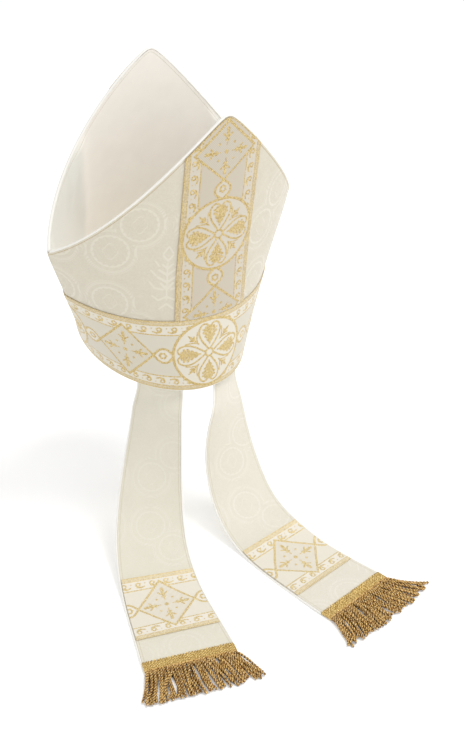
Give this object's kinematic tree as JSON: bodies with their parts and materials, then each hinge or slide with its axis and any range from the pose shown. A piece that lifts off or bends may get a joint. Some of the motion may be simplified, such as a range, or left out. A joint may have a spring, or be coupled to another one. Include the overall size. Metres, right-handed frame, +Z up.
{
  "type": "bishop mitre",
  "caption": "Stiff cloth mitre with pointed front and back horns, patterned bands round the rim and up each face, and two fringed lappets hanging at the back.",
  "frame": {"origin": "middle of the head opening at the rim, where the mitre sits on a head", "axes": "+Z up as worn, -Y the way the wearer faces, +X the wearer's left; the mitre leans back 13 degrees"},
  "size_m": [0.3401, 0.4498, 0.4908],
  "materials": {
    "damask": "cream damask with a tone-on-tone woven pattern",
    "lining": "plain cream twill",
    "galloon": "cream woven band with a metallic gold pattern",
    "piping": "white satin piping",
    "lappet": "cream damask, lighter than the panels",
    "bullion": "antique gold metallic thread"
  },
  "bodies": {
    "root": {"front_panel": "damask", "back_panel": "damask", "front_lining": "lining", "back_lining": "lining", "gusset": "lining", "circulus": "galloon", "front_titulus": "galloon", "back_titulus": "galloon", "front_edge_cord": "piping", "back_edge_cord": "piping", "rim_cord": "piping", "left_lappet": "lappet", "left_lappet_band": "galloon", "left_lappet_outer_cord": "piping", "left_lappet_inner_cord": "piping", "left_fringe_header": "bullion", "left_fringe": "bullion", "right_lappet": "lappet", "right_lappet_band": "galloon", "right_lappet_outer_cord": "piping", "right_lappet_inner_cord": "piping", "right_fringe_header": "bullion", "right_fringe": "bullion"}
  },
  "joints": []
}
